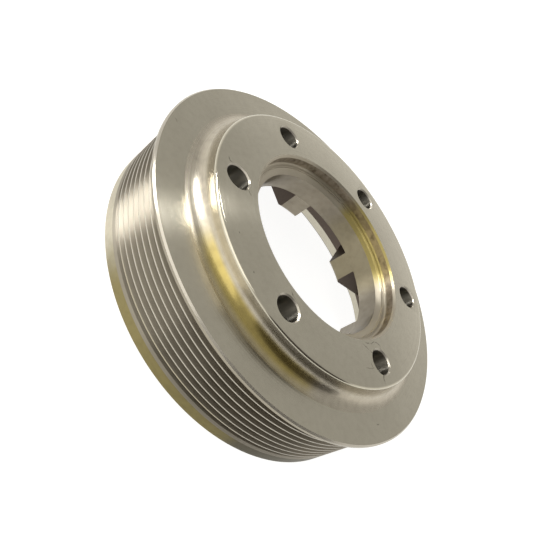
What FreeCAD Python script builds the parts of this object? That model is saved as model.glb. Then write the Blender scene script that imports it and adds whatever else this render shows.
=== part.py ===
import FreeCAD, Part
import math
import os

# Crankshaft pulley for a ribbed belt, turned from one piece of steel. Millimetres, +Z along the axis towards
# the bolting boss. The origin is on the axis, in the plane of the rear face, on which the pulley lies.

# Flange disc that keeps the belt on the pulley
flange_radius = 90.0
flange_thickness = 2.0

# Grooves for a ribbed belt with a pitch of 3.56, between a short land behind the flange and a plain rear band
crest_radius = 86.85
groove_count = 8
groove_pitch = 3.56
groove_depth = 2.85
groove_angle = 40.0
crest_width = 0.78
front_land_length = 2.14
rear_band_length = 7.38
rear_band_chamfer = 0.95

# Rear recess, whose wall flares out from the rim's wall under the grooves to a narrow rear edge
rim_wall = 6.0
rear_recess_depth = 12.0
rear_edge_width = 2.0

# Seat for the flange of the crankshaft's hub, at the bottom of a narrower recess deeper in
seat_recess_radius = 64.0

# Boss that the pulley is bolted through
boss_radius = 69.0
boss_height = 10.5
boss_edge_round = 1.5
boss_foot_fillet = 7.0

# Stepped central bore, open right through
bore_radius = 41.0
register_radius = 46.0
register_depth = 5.6
register_chamfer = 1.0
step_radius = 44.0
step_depth = 1.4
bore_rear_chamfer = 1.4

# Slots across the seat, from the bore to the wall of its recess, that leave six lands between them
slot_width = 31.2
slot_depth = 12.0
web_thickness = 7.7

# Bolt holes through boss and web into the slots, one on +X and each over the middle of a slot
bolt_count = 6
bolt_circle_radius = 57.5
bolt_hole_radius = 5.75

# How far a cutting tool runs past the faces that it opens into
tool_overrun = 2.0

# Rounds are drawn as chords that lie about this far inside the true arc, which keeps the solid light
chord_gap = 0.25

# Heights above the rear face
flange_face_height = rear_band_length + groove_count * groove_pitch + front_land_length + flange_thickness
boss_face_height = flange_face_height + boss_height
flange_back_height = flange_face_height - flange_thickness
slot_floor_height = flange_face_height - web_thickness
seat_height = slot_floor_height - slot_depth
register_floor_height = boss_face_height - register_depth
step_floor_height = register_floor_height - step_depth

# Radii of the rear recess, at its shelf and at its mouth
rear_recess_radius = crest_radius - groove_depth - rim_wall
rear_mouth_radius = crest_radius - rear_band_chamfer - rear_edge_width

AXIS = FreeCAD.Vector(0, 0, 1)
ORIGIN = FreeCAD.Vector(0, 0, 0)


def point(radius, height):
    """A point of the half section, which lies in the XZ plane."""
    return FreeCAD.Vector(radius, 0, height)


class Section:
    """A closed outline in the half section, which is turned round the axis."""

    def __init__(self, radius, height):
        self.points = [point(radius, height)]

    def line(self, radius, height):
        self.points.append(point(radius, height))

    def round(self, centre, radius, from_angle, to_angle):
        """Chords of an arc about centre, between two directions given in degrees."""
        widest_chord = 2 * math.degrees(math.acos(1 - chord_gap / radius))
        chords = math.ceil(abs(to_angle - from_angle) / widest_chord)
        for index in range(chords + 1):
            angle = math.radians(from_angle + (to_angle - from_angle) * index / chords)
            self.line(centre[0] + radius * math.cos(angle), centre[1] + radius * math.sin(angle))

    def solid(self):
        outline = Part.makePolygon(self.points + self.points[:1])
        return Part.Face(outline).revolve(ORIGIN, AXIS, 360)


def add_groove(section, centre_height):
    """One belt groove, from its front edge to the edge of its rear flank."""
    mouth_offset = (groove_pitch - crest_width) / 2
    root_offset = mouth_offset - groove_depth * math.tan(math.radians(groove_angle / 2))
    root_radius = crest_radius - groove_depth
    section.line(crest_radius, centre_height + mouth_offset)
    section.line(root_radius, centre_height + root_offset)
    section.line(root_radius, centre_height - root_offset)
    section.line(crest_radius, centre_height - mouth_offset)


def blank():
    """The turned blank: flange, grooves, boss, stepped bore and the two recesses in its rear."""
    section = Section(bore_radius, seat_height + bore_rear_chamfer)

    # Stepped bore, from the seat up to the boss face
    section.line(bore_radius, step_floor_height)
    section.line(step_radius, step_floor_height)
    section.line(step_radius, register_floor_height)
    section.line(register_radius, register_floor_height)
    section.line(register_radius, boss_face_height - register_chamfer)
    section.line(register_radius + register_chamfer, boss_face_height)

    # Boss, with its rounded edge and the fillet at its foot
    edge_centre = (boss_radius - boss_edge_round, boss_face_height - boss_edge_round)
    section.round(edge_centre, boss_edge_round, 90, 0)
    foot_centre = (boss_radius + boss_foot_fillet, flange_face_height + boss_foot_fillet)
    section.round(foot_centre, boss_foot_fillet, 180, 270)

    # Flange disc
    section.line(flange_radius, flange_face_height)
    section.line(flange_radius, flange_back_height)
    section.line(crest_radius, flange_back_height)

    # Grooves, from the flange to the rear band
    for index in reversed(range(groove_count)):
        add_groove(section, rear_band_length + (index + 0.5) * groove_pitch)

    # Plain rear band and the flat ring on which the pulley lies
    section.line(crest_radius, rear_band_chamfer)
    section.line(crest_radius - rear_band_chamfer, 0)
    section.line(rear_mouth_radius, 0)

    # Rear recess, its shelf, and the seat in the narrower recess
    section.line(rear_recess_radius, rear_recess_depth)
    section.line(seat_recess_radius, rear_recess_depth)
    section.line(seat_recess_radius, seat_height)
    section.line(bore_radius + bore_rear_chamfer, seat_height)
    return section.solid()


def seat_slot():
    """The cutter for one slot: from the axis out to the wall of the seat's recess, up to the web."""
    start = seat_height - tool_overrun
    depth = slot_depth + tool_overrun
    corner = FreeCAD.Vector(0, -slot_width / 2, start)
    bar = Part.makeBox(seat_recess_radius, slot_width, depth, corner)
    reach = Part.makeCylinder(seat_recess_radius, depth, FreeCAD.Vector(0, 0, start))
    return bar.common(reach)


def bolt_hole():
    """The cutter for one bolt hole, from inside its slot to above the boss face."""
    start = FreeCAD.Vector(bolt_circle_radius, 0, slot_floor_height - tool_overrun)
    depth = web_thickness + boss_height + 2 * tool_overrun
    return Part.makeCylinder(bolt_hole_radius, depth, start)


def round_the_axis(cutter):
    """Copies of a cutter at every bolt angle."""
    copies = []
    for index in range(bolt_count):
        copy = cutter.copy()
        copy.rotate(ORIGIN, AXIS, 360 / bolt_count * index)
        copies.append(copy)
    return copies


# The slots' ends lie in the wall of the seat's recess, and removeSplitter makes them one face with it
pulley = blank().cut(round_the_axis(seat_slot()) + round_the_axis(bolt_hole()))
pulley = pulley.removeSplitter().Solids[0]

os.makedirs("parts", exist_ok=True)
pulley.exportStep("parts/pulley.step")

print("valid", pulley.isValid(), "volume cm3", round(pulley.Volume / 1000, 1))
box = pulley.BoundBox
print("size mm", round(box.XLength, 2), round(box.YLength, 2), round(box.ZLength, 2))
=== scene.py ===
import math

import bmesh
import bpy
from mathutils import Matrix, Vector


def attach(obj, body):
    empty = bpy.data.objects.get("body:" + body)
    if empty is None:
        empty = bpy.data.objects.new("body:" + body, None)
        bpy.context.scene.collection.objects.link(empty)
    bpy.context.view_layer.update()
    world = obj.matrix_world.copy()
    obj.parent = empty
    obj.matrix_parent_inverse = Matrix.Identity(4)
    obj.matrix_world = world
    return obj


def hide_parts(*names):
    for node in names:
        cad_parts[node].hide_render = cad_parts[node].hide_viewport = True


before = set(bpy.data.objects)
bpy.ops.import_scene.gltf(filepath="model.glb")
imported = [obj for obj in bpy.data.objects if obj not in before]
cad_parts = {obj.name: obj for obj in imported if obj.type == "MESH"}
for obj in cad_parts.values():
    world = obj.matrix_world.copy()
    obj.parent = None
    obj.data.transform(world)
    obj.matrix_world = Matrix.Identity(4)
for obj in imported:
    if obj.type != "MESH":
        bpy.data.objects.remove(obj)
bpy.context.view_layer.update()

# The pulley is one piece of free-cutting steel, turned all over on a lathe. It is drawn as the lathe cut it:
# one half section, with the finish of each run, swept round the axis. Sizes are in millimetres, heights are
# above the rear face that it lies on, and every round that the hand feels on its edges is real mesh.
MM = 0.001
FACE, FILLET, FLANK, CREST, RIM, BAND, REGISTER, STEP, BORE, DRILLED, INSIDE = range(11)
edge_break = 0.15


class HalfSection:
    """Points of the half section, each with the finish of the run that ends there."""

    def __init__(self):
        self.points = []
        self.finishes = []

    def to(self, radius, height, finish):
        self.points.append((radius, height))
        self.finishes.append(finish)

    def arc(self, radius, height, size, start, end, steps, finish):
        """A round about a centre, between two directions in degrees."""
        for step in range(steps + 1):
            angle = math.radians(start + (end - start) * step / steps)
            self.to(radius + size * math.cos(angle), height + size * math.sin(angle), finish)


section = HalfSection()

# The bore, from the seat up to the boss face. It was bored in steps: the bore itself, with a shallow cone at its
# mouth, a narrow relief step, and the register that takes a spigot. The tool left a small fillet in each corner.
seat_height = 20.3
slot_floor = 32.3
bore_radius = 41.0
bore_rear_chamfer = 1.4
mouth_height = 42.75
mouth_slope = 24.0
step_radius = 44.0
step_floor = 43.5
step_fillet = 0.8
step_fillet_lift = 0.2
register_radius = 46.0
register_floor = 44.9
register_chamfer = 1.0
corner_fillet = 0.9
fillet_chords = 6
boss_face = 50.5

section.to(bore_radius, seat_height + bore_rear_chamfer, BORE)
section.to(bore_radius, slot_floor, BORE)
section.to(bore_radius, mouth_height, BORE)
section.arc(step_radius - step_fillet, step_floor + step_fillet + step_fillet_lift, step_fillet,
            mouth_slope - 90, 0, fillet_chords, STEP)
section.to(step_radius, register_floor - edge_break, STEP)
section.to(step_radius + edge_break, register_floor, STEP)
section.arc(register_radius - corner_fillet, register_floor + corner_fillet, corner_fillet,
            -90, 0, fillet_chords, STEP)
section.to(register_radius, boss_face - register_chamfer, REGISTER)
section.to(register_radius + register_chamfer, boss_face, STEP)

# The boss, faced flat for what bolts to it, with a rounded edge and a large fillet where it rises from the flange.
boss_radius = 69.0
boss_round = 1.5
boss_round_chords = 8
boss_fillet = 7.0
boss_fillet_chords = 24
flange_height = 40.0

section.arc(boss_radius - boss_round, boss_face - boss_round, boss_round, 90, 0, boss_round_chords, FACE)
section.arc(boss_radius + boss_fillet, flange_height + boss_fillet, boss_fillet,
            180, 270, boss_fillet_chords, FILLET)

# The flange, a thin disc in one with the body, which keeps the belt on. Its front edge is chamfered and rubbed
# bright, and its outer edge was turned with a coarse feed.
flange_radius = 90.0
flange_chamfer = 0.7
flange_back = 38.0
crest_radius = 86.85

section.to(flange_radius - flange_chamfer, flange_height, FACE)
section.to(flange_radius, flange_height - flange_chamfer, CREST)
section.to(flange_radius, flange_back + edge_break, RIM)
section.to(flange_radius - edge_break, flange_back, RIM)
section.to(crest_radius, flange_back, FLANK)

# The belt face: eight grooves for a ribbed belt, cut by a form tool. Each has two straight flanks and a round
# root, and the crests between them have small rounds at their edges and are polished by the belt.
groove_pitch = 3.56
groove_count = 8
groove_depth = 2.85
flank_angle = 20.0
crest_round = 0.25
crest_chords = 3
root_round = 0.5
root_chords = 6
band_length = 7.38
bevel_depth = 0.5
bevel_reach = 0.9

half_flank = math.radians(flank_angle)
root_centre = crest_radius - groove_depth + root_round
apex = root_centre - root_round / math.sin(half_flank)


def draw_groove(section, centre, last):
    """One belt groove, from the crest in front of it. The last one runs out into the rear band's bevel."""
    tip = crest_radius - crest_round
    tip_offset = (tip - apex) * math.tan(half_flank) + crest_round / math.cos(half_flank)
    section.arc(tip, centre + tip_offset, crest_round, 0, flank_angle - 90, crest_chords, FLANK)
    section.finishes[-1 - crest_chords] = CREST
    section.arc(root_centre, centre, root_round, 90 + flank_angle, 270 - flank_angle, root_chords, FLANK)
    if last:
        top = crest_radius - bevel_depth
        section.to(top, centre - (top - apex) * math.tan(half_flank), FLANK)
        return
    section.arc(tip, centre - tip_offset, crest_round, 90 - flank_angle, 0, crest_chords, FLANK)


for index in reversed(range(groove_count)):
    draw_groove(section, band_length + (index + 0.5) * groove_pitch, last=index == 0)

# The plain rear band, turned with a coarser feed, with a bevel towards the last groove and a chamfer at its
# rear edge, and the narrow flat ring that the pulley lies on.
band_chamfer = 0.95
rear_mouth = 83.9

section.to(crest_radius, band_length - bevel_reach, FLANK)
section.to(crest_radius, band_chamfer, BAND)
section.to(crest_radius - band_chamfer, 0, CREST)
section.to(rear_mouth + edge_break, 0, BAND)

# The rear, hollowed out on the lathe: a recess that flares towards the rear edge, a shelf, and a deeper recess
# with the seat for the crankshaft's hub. Through the slots its wall shows bright at the rear, and above that it has
# the dark finish as painted shade.
rear_recess = 78.0
shelf_height = 12.0
seat_recess = 64.0
# Painted shade begins on the recess's wall at this height
wall_painted_shade_from = 15.6

section.to(rear_mouth, 2 * edge_break, INSIDE)
section.to(rear_recess, shelf_height, FACE)
section.to(seat_recess + edge_break, shelf_height, INSIDE)
section.to(seat_recess, shelf_height + edge_break, FACE)
section.to(seat_recess, wall_painted_shade_from, FACE)
# Painted shade: the wall from here up to the seat takes the dark finish
section.to(seat_recess, seat_height, INSIDE)
section.to(bore_radius + bore_rear_chamfer, seat_height, FACE)

turn_steps = 360


def turned(section, name):
    """The half section swept round the axis into a closed mesh. A face keeps its run's finish."""
    build = bmesh.new()
    rings = []
    for step in range(turn_steps):
        angle = math.tau * step / turn_steps
        out = Vector((math.cos(angle), math.sin(angle), 0)) * MM
        rings.append([build.verts.new(out * r + Vector((0, 0, h * MM))) for r, h in section.points])
    size = len(section.points)
    for step in range(turn_steps):
        here, there = rings[step], rings[(step + 1) % turn_steps]
        for index in range(size):
            after = (index + 1) % size
            face = build.faces.new((here[index], there[index], there[after], here[after]))
            face.material_index = section.finishes[after]
            face.smooth = True
    bmesh.ops.recalc_face_normals(build, faces=build.faces)
    mesh = bpy.data.meshes.new(name)
    build.to_mesh(mesh)
    build.free()
    piece = bpy.data.objects.new(name, mesh)
    bpy.context.scene.collection.objects.link(piece)
    return piece


pulley = turned(section, "pulley_body")

# The steel's finishes. It is bare, and the tool left rings round the axis that draw light out
# into streaks across them, a quarter turn from the rings. Real rings are about 0.1 mm apart, too fine to show,
# so they are drawn 0.5 to 1 mm apart. Broad stains shade its colour, gold tints are painted reflections,
# painted shade darkens the rear band and the top of the recess's wall, and dirt and wear follow the photograph.
stain_size = 16.67
stain_least = 0.2
stain_range = 0.5
stain_detail = 6.0
ring_detail = 3.0
ring_contrast = 0.2
ring_bump = 0.2
ring_depth = 0.1
draw_turn = 0.25


def linear(hex_code):
    """An sRGB hex colour as linear red, green and blue, with alpha 1."""
    parts = [int(hex_code[index:index + 2], 16) / 255 for index in (1, 3, 5)]
    return [part / 12.92 if part <= 0.04045 else ((part + 0.055) / 1.055) ** 2.4 for part in parts] + [1.0]


def add_node(tree, kind, settings=None, inputs=None):
    """Adds a node, sets its properties and inputs, and links the inputs that are sockets.

    An input goes by its name or its place: 1 to 4 in a Map Range are the ends of its two ranges, and 6 and 7
    in a Mix are its two colours.
    """
    node = tree.nodes.new(kind)
    for key, value in (settings or {}).items():
        setattr(node, key, value)
    for key, value in (inputs or {}).items():
        if isinstance(value, bpy.types.NodeSocket):
            tree.links.new(value, node.inputs[key])
        else:
            node.inputs[key].default_value = value
    return node


# Painted shade: the rear band is painted bright on the left and darker along X, between these two places
band_painted_shade_from, band_painted_shade_to = -55.0, 50.0


def with_band_painted_shade(tree, tint, along_x, painted_shade_colour):
    """The colour, with painted shade that darkens it from left to right."""
    share = add_node(tree, "ShaderNodeMapRange", {"interpolation_type": "SMOOTHSTEP"},
                     {0: along_x, 1: band_painted_shade_from * MM, 2: band_painted_shade_to * MM}).outputs[0]
    return add_node(tree, "ShaderNodeMix", {"data_type": "RGBA"},
                    {0: share, 6: tint, 7: linear(painted_shade_colour)}).outputs[2]


# A painted gold reflection, as a tint on the near side of the outer surfaces and on the far side of the bore.
# These are how far its edge frays, how squarely a place faces that side where the tint begins and where it is
# whole, and how much of its reach in height it covers fully.
reflection_fray = 0.12
reflection_begins = 0.88
reflection_whole = 1.0
reflection_core = 0.3


def with_painted_reflection(tree, tint, painted_reflection, flat, height, stain):
    """The colour under a painted gold reflection: its own colour, the side in degrees, its middle and reach in
    height, its share.
    """
    reflection_colour, turn, middle, reach, most = painted_reflection
    side = (math.cos(math.radians(turn)), math.sin(math.radians(turn)), 0)
    outward = add_node(tree, "ShaderNodeVectorMath", {"operation": "NORMALIZE"}, {0: flat}).outputs[0]
    facing = add_node(tree, "ShaderNodeVectorMath", {"operation": "DOT_PRODUCT"},
                      {0: outward, 1: side}).outputs["Value"]
    frayed = add_node(tree, "ShaderNodeMath", {"operation": "MULTIPLY_ADD"},
                      {0: stain, 1: reflection_fray, 2: facing}).outputs[0]
    reflection_side_share = add_node(tree, "ShaderNodeMapRange", {"interpolation_type": "SMOOTHSTEP"},
                    {0: frayed, 1: reflection_begins, 2: reflection_whole}).outputs[0]
    off = add_node(tree, "ShaderNodeMath", {"operation": "SUBTRACT"}, {0: height, 1: middle * MM}).outputs[0]
    away = add_node(tree, "ShaderNodeMath", {"operation": "ABSOLUTE"}, {0: off}).outputs[0]
    band = add_node(tree, "ShaderNodeMapRange", {"interpolation_type": "SMOOTHSTEP"},
                    {0: away, 1: reach * MM, 2: reflection_core * reach * MM, 3: 0.0, 4: most}).outputs[0]
    share = add_node(tree, "ShaderNodeMath", {"operation": "MULTIPLY"}, {0: reflection_side_share, 1: band}).outputs[0]
    return add_node(tree, "ShaderNodeMix", {"data_type": "RGBA"},
                    {0: share, 6: tint, 7: linear(reflection_colour)}).outputs[2]


# Specks of old dirt. Real ones are a few tenths of a millimetre, drawn coarser here so that they show.
speck_size = 2.8
speck_detail = 3.0
speck_from, speck_to = 0.42, 0.72
speck_colour = "#4A3C2E"


def specked(tree, tint, place, speck):
    """The colour with specks of dirt, where speck is the share of dirt at their middles."""
    grains = add_node(tree, "ShaderNodeTexNoise", inputs={"Vector": place, "Scale": 1 / (speck_size * MM),
                                                          "Detail": speck_detail}).outputs["Fac"]
    dirt = add_node(tree, "ShaderNodeMapRange",
                    inputs={0: grains, 1: speck_from, 2: speck_to, 4: speck}).outputs[0]
    return add_node(tree, "ShaderNodeMix", {"data_type": "RGBA"},
                    {0: dirt, 6: tint, 7: linear(speck_colour)}).outputs[2]


# Scratches and pits in the boss face, each a soft long spot: the x and y of its middle, its length and width
# in millimetres, and its turn in degrees. A wobble bends them a little.
scratches = [
    (47.9, -4.8, 4.6, 0.5, 68), (48.3, -1.0, 4.2, 0.45, 102), (49.3, 2.4, 4.4, 0.5, 49),
    (51.5, 3.8, 2.4, 0.4, -15), (49.3, -7.3, 5.6, 0.4, 37), (52.2, -4.7, 3.0, 0.4, 54),
    (57.8, -8.3, 3.4, 0.4, 9), (55.8, -5.9, 3.6, 0.35, -28), (58.8, -10.4, 8.0, 0.35, 84),
    (64.6, -3.1, 5.2, 0.7, -23), (-36.5, -51.2, 4.2, 0.6, 5), (-35.3, -49.7, 3.2, 0.4, 82),
    (-21.6, -46.9, 3.4, 0.5, 15), (13.7, -62.3, 1.0, 0.9, 41), (-3.0, -62.0, 0.9, 0.8, 0),
    (24.0, -44.0, 5.0, 0.35, 12), (81.5, -4.6, 2.2, 0.6, 66), (86.0, -1.5, 1.2, 0.7, 0),
    (-60.0, -62.0, 2.6, 0.5, 30),
]
spot_depth = 20.0
wobble_size = 2.222
wobble_reach = 2.2
wobble_detail = 1.0
scratch_edge = 0.55
scratch_most = 0.75
scratch_colour = "#3A3128"


def spot(tree, place, mark):
    """A soft-edged long spot on a flat face: 1 in its middle, 0 past its edge."""
    x, y, length, width, turn = mark
    moved = add_node(tree, "ShaderNodeMapping", {"vector_type": "TEXTURE"},
                     {"Vector": place, "Location": (x * MM, y * MM, boss_face * MM),
                      "Rotation": (0, 0, math.radians(turn)),
                      "Scale": (length / 2 * MM, width / 2 * MM, spot_depth * MM)}).outputs[0]
    return add_node(tree, "ShaderNodeTexGradient", {"gradient_type": "SPHERICAL"}, {"Vector": moved}).outputs["Fac"]


def scratched(tree, tint, place):
    """The colour with the boss face's scratches and pits."""
    wobble = add_node(tree, "ShaderNodeTexNoise", inputs={"Vector": place, "Scale": 1 / (wobble_size * MM),
                                                          "Detail": wobble_detail}).outputs["Color"]
    reach = wobble_reach * MM
    shifted = add_node(tree, "ShaderNodeVectorMath", {"operation": "MULTIPLY_ADD"},
                       {0: wobble, 1: (reach, reach, 0.0), 2: place}).outputs[0]
    worked = add_node(tree, "ShaderNodeVectorMath", {"operation": "SUBTRACT"},
                      {0: shifted, 1: (reach / 2, reach / 2, 0.0)}).outputs[0]
    total = spot(tree, worked, scratches[0])
    for scratch in scratches[1:]:
        total = add_node(tree, "ShaderNodeMath", {"operation": "MAXIMUM"},
                         {0: total, 1: spot(tree, worked, scratch)}).outputs[0]
    cut_in = add_node(tree, "ShaderNodeMapRange",
                      inputs={0: total, 1: 0.0, 2: scratch_edge, 4: scratch_most}).outputs[0]
    return add_node(tree, "ShaderNodeMix", {"data_type": "RGBA"},
                    {0: cut_in, 6: tint, 7: linear(scratch_colour)}).outputs[2]


def steel(name, colour, dark, roughness, ring_mm, draw=1.0, painted_reflection=None, painted_shade_colour=None, marked=False, speck=0.0):
    """A turned steel: its light and dark colour, roughness, ring spacing, and how far the rings draw light out."""
    material = bpy.data.materials.new(name)
    material.use_nodes = True
    tree = material.node_tree
    tree.nodes.clear()
    place = add_node(tree, "ShaderNodeTexCoord").outputs["Object"]
    x, y, height = add_node(tree, "ShaderNodeSeparateXYZ", inputs={0: place}).outputs
    flat = add_node(tree, "ShaderNodeCombineXYZ", inputs={0: x, 1: y}).outputs[0]
    radius = add_node(tree, "ShaderNodeVectorMath", {"operation": "LENGTH"}, {0: flat}).outputs["Value"]
    ring_place = add_node(tree, "ShaderNodeCombineXYZ", inputs={0: radius, 1: height}).outputs[0]
    rings = add_node(tree, "ShaderNodeTexNoise", {"noise_dimensions": "2D"},
                     {"Vector": ring_place, "Scale": 1 / (ring_mm * MM), "Detail": ring_detail}).outputs["Fac"]
    stain = add_node(tree, "ShaderNodeTexNoise", inputs={"Vector": place, "Scale": 1 / (stain_size * MM),
                                                         "Detail": stain_detail}).outputs["Fac"]
    stained = add_node(tree, "ShaderNodeMath", {"operation": "MULTIPLY_ADD"},
                       {0: stain, 1: stain_range, 2: stain_least}).outputs[0]
    tint = add_node(tree, "ShaderNodeMix", {"data_type": "RGBA"},
                    {0: stained, 6: linear(colour), 7: linear(dark)}).outputs[2]
    # Painted shade along X, on the rear band
    if painted_shade_colour:
        tint = with_band_painted_shade(tree, tint, x, painted_shade_colour)
    # A painted gold reflection, as a tint on one side
    if painted_reflection:
        tint = with_painted_reflection(tree, tint, painted_reflection, flat, height, stain)
    if speck:
        tint = specked(tree, tint, place, speck)
    if marked:
        tint = scratched(tree, tint, place)
    rough = add_node(tree, "ShaderNodeMapRange",
                     inputs={0: rings, 3: roughness - ring_contrast * roughness,
                             4: roughness + ring_contrast * roughness}).outputs[0]
    bump = add_node(tree, "ShaderNodeBump",
                    inputs={"Strength": ring_bump, "Distance": ring_depth * MM, "Height": rings}).outputs[0]
    tangent = add_node(tree, "ShaderNodeTangent", {"direction_type": "RADIAL", "axis": "Z"}).outputs[0]
    shader = add_node(tree, "ShaderNodeBsdfPrincipled",
                      inputs={"Base Color": tint, "Metallic": 1.0, "Roughness": rough, "Anisotropic": draw,
                              "Anisotropic Rotation": draw_turn, "Normal": bump,
                              "Tangent": tangent}).outputs[0]
    add_node(tree, "ShaderNodeOutputMaterial", inputs={"Surface": shader})
    return material


finishes = {
    # Faced with a fine feed: nearly a mirror, with light drawn out in long streaks across the rings
    FACE: steel("fine_turned_steel", "#CBC6B5", "#B3AD9C", 0.145, 0.8, draw=0.9, marked=True, speck=0.06),
    # Turned round the corner with a round tool: a softer sheen, and a painted gold reflection low in the fillet
    FILLET: steel("blended_turned_steel", "#C2BBAB", "#B8B09F", 0.26, 0.8, draw=0.75,
                  painted_reflection=("#B2A163", -67, 42.3, 3.2, 1.0), speck=0.15),
    # Cut with a form tool and never polished: brown-grey, and dull in the depth of the grooves
    FLANK: steel("form_turned_steel", "#A09A8C", "#7E766A", 0.36, 0.5),
    # Crests and edges rubbed by the belt and by handling: thin pale lines, and a painted gold reflection on the
    # near side
    CREST: steel("belt_polished_steel", "#CFC9BC", "#B6B0A3", 0.31, 0.5, painted_reflection=("#A8985C", -72, 0.0, 16.0, 0.8)),
    # The flange's edge, turned with a coarse feed: mid grey, whose light hardly spreads
    RIM: steel("rough_turned_rim_steel", "#A59E8F", "#8E8778", 0.25, 0.5, draw=0.3),
    # The rear band, turned with a coarse feed: satin, with painted shade darkening it from left to right and a dark
    # painted gold reflection on the near side
    BAND: steel("rough_turned_steel", "#C8C1AE", "#B8B19C", 0.33, 0.8, painted_reflection=("#8A7F54", -70, 0.0, 40.0, 0.9),
                painted_shade_colour="#605B4C", speck=0.15),
    # The register's bored wall, browned by old dirt: a warm grey full of dark specks, and a painted gold reflection
    # on the far side
    REGISTER: steel("bored_brown_steel", "#BDB2A0", "#8A7D6A", 0.38, 0.6,
                    painted_reflection=("#A08C52", 98, 47.0, 30.0, 0.6), speck=0.6),
    # The bored steps and chamfer: pale satin rings, with a painted gold reflection on the far side
    STEP: steel("dull_bored_steel", "#CCC4B3", "#A79F8C", 0.37, 0.6, painted_reflection=("#B5A55F", 96, 44.0, 30.0, 0.85)),
    # The long bored wall that a spigot slides in: brighter, with upright streaks of light, and a dark painted gold
    # reflection on the far side
    BORE: steel("bored_bright_steel", "#BBB3A4", "#736A58", 0.31, 0.8,
                painted_reflection=("#8E8462", 92, 35.0, 90.0, 0.5), speck=0.15),
    # Drilled and left so: an even grey inside the bolt holes
    DRILLED: steel("drilled_steel", "#8C887C", "#76726A", 0.36, 0.8),
    # Roughly turned or milled where nobody looks: dark brown-grey with little shine, the darkness partly painted
    # shade in the slots and on the upper wall of the seat's recess
    INSIDE: steel("milled_steel_painted_shade", "#82766D", "#645A52", 0.42, 1.0),
}
for finish in range(len(finishes)):
    pulley.data.materials.append(finishes[finish])

# The bolt holes are drilled and lightly countersunk from the boss face, and the slots are milled across the
# seat, out to the wall of its recess. Both are cut out of the turned body, one of each at each of six angles.
bolt_count = 6
bolt_circle = 57.5
hole_radius = 5.75
hole_chamfer = 0.6
hole_steps = 64
slot_width = 31.2
slot_start = 30.0
slot_end_steps = 12
overrun = 2.0

# The slot cutter goes this little past the recess's wall and the seat, so that no film of steel is left there
wall_clearance = 0.02
seat_clearance = 0.05


def add_drill(build, angle):
    """A drill through boss and web, with its countersink, as a closed turned shape."""
    mouth = hole_radius + hole_chamfer
    outline = [(hole_radius, slot_floor - overrun), (hole_radius, boss_face - hole_chamfer),
               (mouth, boss_face), (mouth, boss_face + overrun)]
    middle = Vector((math.cos(angle), math.sin(angle), 0)) * bolt_circle * MM
    rings = []
    for radius, height in outline:
        ring = []
        for step in range(hole_steps):
            turn = math.tau * step / hole_steps
            offset = Vector((math.cos(turn) * radius, math.sin(turn) * radius, height)) * MM
            ring.append(build.verts.new(middle + offset))
        rings.append(ring)
    for low, high, finish in zip(rings, rings[1:], (DRILLED, CREST, CREST)):
        for step in range(hole_steps):
            after = (step + 1) % hole_steps
            build.faces.new((low[step], low[after], high[after], high[step])).material_index = finish
    build.faces.new(reversed(rings[0]))
    build.faces.new(rings[-1])


def add_slot_cutter(build, angle):
    """A milling cut from the bore to the round wall of the recess, and up to the slot's floor."""
    along = Vector((math.cos(angle), math.sin(angle), 0))
    across = Vector((-along.y, along.x, 0))
    half = slot_width / 2
    wall = seat_recess + wall_clearance
    widest = math.asin(half / wall)
    outline = [along * slot_start + across * half, along * slot_start - across * half]
    for step in range(slot_end_steps + 1):
        turn = -widest + 2 * widest * step / slot_end_steps
        outline.append((along * math.cos(turn) + across * math.sin(turn)) * wall)
    low = [build.verts.new((place + Vector((0, 0, seat_height - seat_clearance))) * MM) for place in outline]
    high = [build.verts.new((place + Vector((0, 0, slot_floor))) * MM) for place in outline]
    build.faces.new(reversed(low))
    build.faces.new(high)
    for index in range(len(outline)):
        after = (index + 1) % len(outline)
        build.faces.new((low[index], low[after], high[after], high[index]))


tool_build = bmesh.new()
for index in range(bolt_count):
    add_drill(tool_build, math.tau / bolt_count * index)
    add_slot_cutter(tool_build, math.tau / bolt_count * index)
bmesh.ops.recalc_face_normals(tool_build, faces=tool_build.faces)

# The slots' faces still have the first finish of the list, and get the dark one that milling leaves, partly painted
# shade
for face in tool_build.faces:
    if face.material_index == FACE:
        face.material_index = INSIDE
    face.smooth = True
tool_mesh = bpy.data.meshes.new("cutting_tools")
tool_build.to_mesh(tool_mesh)
tool_build.free()
for material in pulley.data.materials:
    tool_mesh.materials.append(material)
tools = bpy.data.objects.new("cutting_tools", tool_mesh)
bpy.context.scene.collection.objects.link(tools)

# Each drill runs into its slot's cutter, and without use_self the space that they share is left as a plug
cut = pulley.modifiers.new("cut", "BOOLEAN")
cut.operation = "DIFFERENCE"
cut.solver = "EXACT"
cut.use_self = True
cut.object = tools
bpy.context.view_layer.update()
cut_mesh = bpy.data.meshes.new_from_object(pulley.evaluated_get(bpy.context.evaluated_depsgraph_get()))
pulley.modifiers.clear()
pulley.data = cut_mesh
bpy.data.objects.remove(tools)
sharp_angle = 24
cut_mesh.set_sharp_from_angle(angle=math.radians(sharp_angle))

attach(pulley, "root")
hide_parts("pulley")

# The floor is a plain matt board, well past the edges of the picture. It glows a little, so that it comes out
# nearly as white as the ground that the photograph is cut out on.
floor_reach = 8.0
floor_mesh = bpy.data.meshes.new("floor")
floor_mesh.from_pydata([(x * floor_reach, y * floor_reach, 0) for x, y in ((-1, -1), (1, -1), (1, 1), (-1, 1))],
                       [], [(0, 1, 2, 3)])
floor = bpy.data.objects.new("floor", floor_mesh)
bpy.context.scene.collection.objects.link(floor)
board = bpy.data.materials.new("matt_white_board")
board.use_nodes = True
board_shader = board.node_tree.nodes["Principled BSDF"]
board_shader.inputs["Base Color"].default_value = linear("#96958F")
board_shader.inputs["Roughness"].default_value = 0.9
board_shader.inputs["Emission Color"].default_value = linear("#FFFFFF")
board_shader.inputs["Emission Strength"].default_value = 0.9
floor_mesh.materials.append(board)

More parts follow.
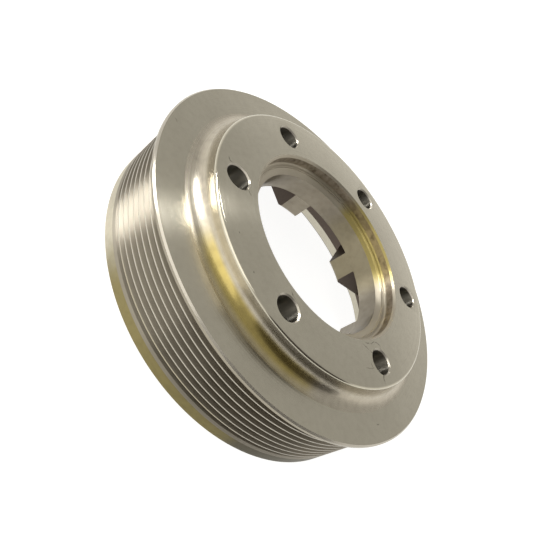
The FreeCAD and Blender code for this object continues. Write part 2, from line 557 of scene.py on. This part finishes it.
# The room: pale walls, a greyer ceiling, and one dim side, to the front right, that gives the steel its dark
# reflections. A camera that looks at that side sees the pale backdrop instead, and the reflections stay.
wall_colour = "#F6F3EE"
ceiling_colour = "#B9B7B3"
ceiling_from, ceiling_to = 0.2, 0.55
dim_colour = "#4C4843"
dim_turn, dim_rise = math.radians(-15), math.radians(12)
dim_from, dim_to = 0.72, 0.83
room_strength = 1.1

world = bpy.data.worlds.new("pale_room")
bpy.context.scene.world = world
world.use_nodes = True
room = world.node_tree
direction = add_node(room, "ShaderNodeTexCoord").outputs["Generated"]
rise = add_node(room, "ShaderNodeSeparateXYZ", inputs={0: direction}).outputs[2]
overhead = add_node(room, "ShaderNodeMapRange", {"interpolation_type": "SMOOTHSTEP"},
                    {0: rise, 1: ceiling_from, 2: ceiling_to}).outputs[0]
walls = add_node(room, "ShaderNodeMix", {"data_type": "RGBA"},
                 {0: overhead, 6: linear(wall_colour), 7: linear(ceiling_colour)}).outputs[2]
dim_side = (math.cos(dim_turn) * math.cos(dim_rise), math.sin(dim_turn) * math.cos(dim_rise), math.sin(dim_rise))
towards = add_node(room, "ShaderNodeVectorMath", {"operation": "DOT_PRODUCT"},
                   {0: direction, 1: dim_side}).outputs["Value"]
dimness = add_node(room, "ShaderNodeMapRange", {"interpolation_type": "SMOOTHSTEP"},
                   {0: towards, 1: dim_from, 2: dim_to}).outputs[0]
sides = add_node(room, "ShaderNodeMix", {"data_type": "RGBA"},
                 {0: dimness, 6: walls, 7: linear(dim_colour)}).outputs[2]
seen = add_node(room, "ShaderNodeLightPath").outputs["Is Camera Ray"]
shown = add_node(room, "ShaderNodeMix", {"data_type": "RGBA"},
                 {0: seen, 6: sides, 7: linear(wall_colour)}).outputs[2]
backdrop = room.nodes["Background"]
room.links.new(shown, backdrop.inputs["Color"])
backdrop.inputs["Strength"].default_value = room_strength


# The lamps: a large soft box and a narrow lamp on the left, and a small one high behind for the glints.
# Each is given by name, azimuth and elevation, distance, size, power and colour.
def panel(name, azimuth, elevation, distance, size, power, colour):
    """A soft light panel that faces the pulley, at angles in degrees and a distance in metres."""
    light = bpy.data.lights.new(name, "AREA")
    light.shape = "RECTANGLE"
    light.size, light.size_y = size
    light.energy = power
    light.color = linear(colour)[:3]
    lamp = bpy.data.objects.new(name, light)
    turn, rise = math.radians(azimuth), math.radians(elevation)
    lamp.location = Vector((math.cos(turn) * math.cos(rise), math.sin(turn) * math.cos(rise),
                            math.sin(rise))) * distance
    lamp.rotation_euler = (-lamp.location).to_track_quat("-Z", "Y").to_euler()
    lamp.visible_camera = False
    bpy.context.scene.collection.objects.link(lamp)


panel("left_soft_box", -112, 32, 1.5, (1.7, 1.2), 9.0, "#FFFDF8")
panel("left_lamp", -154, 36, 1.2, (0.42, 0.17), 7.2, "#FFFFFF")
panel("back_lamp", 138, 52, 1.25, (0.12, 0.12), 0.9, "#FFFFFF")

# The camera stands close in front of the pulley, and is rolled so that the pulley leans as it does in the
# photograph. Its place and aim are in millimetres and its roll in degrees. The lens and the shift come from
# the fitted focal length and optical centre, in pixels.
camera_place = (72.56, -223.15, 176.99)
camera_aim = (5.10, 12.81, 0.0)
camera_roll = 59.9
sensor_width = 36.0
focal_pixels = 578.27
picture_pixels = 550
optical_centre = (276.54, 297.39)
camera_data = bpy.data.cameras.new("camera")
camera_data.sensor_width = sensor_width
camera_data.lens = sensor_width * focal_pixels / picture_pixels
camera_data.shift_x = (picture_pixels / 2 - 0.5 - optical_centre[0]) / picture_pixels
camera_data.shift_y = (optical_centre[1] - picture_pixels / 2 + 0.5) / picture_pixels
camera_data.clip_start = 0.01
camera = bpy.data.objects.new("camera", camera_data)
look = (Vector(camera_aim) - Vector(camera_place)).to_track_quat("-Z", "Y").to_euler()
camera.location = Vector(camera_place) * MM
camera.rotation_euler = look
camera.rotation_euler.rotate_axis("Z", math.radians(camera_roll))
bpy.context.scene.collection.objects.link(camera)
bpy.context.scene.camera = camera
bpy.context.scene.view_settings.view_transform = "Standard"
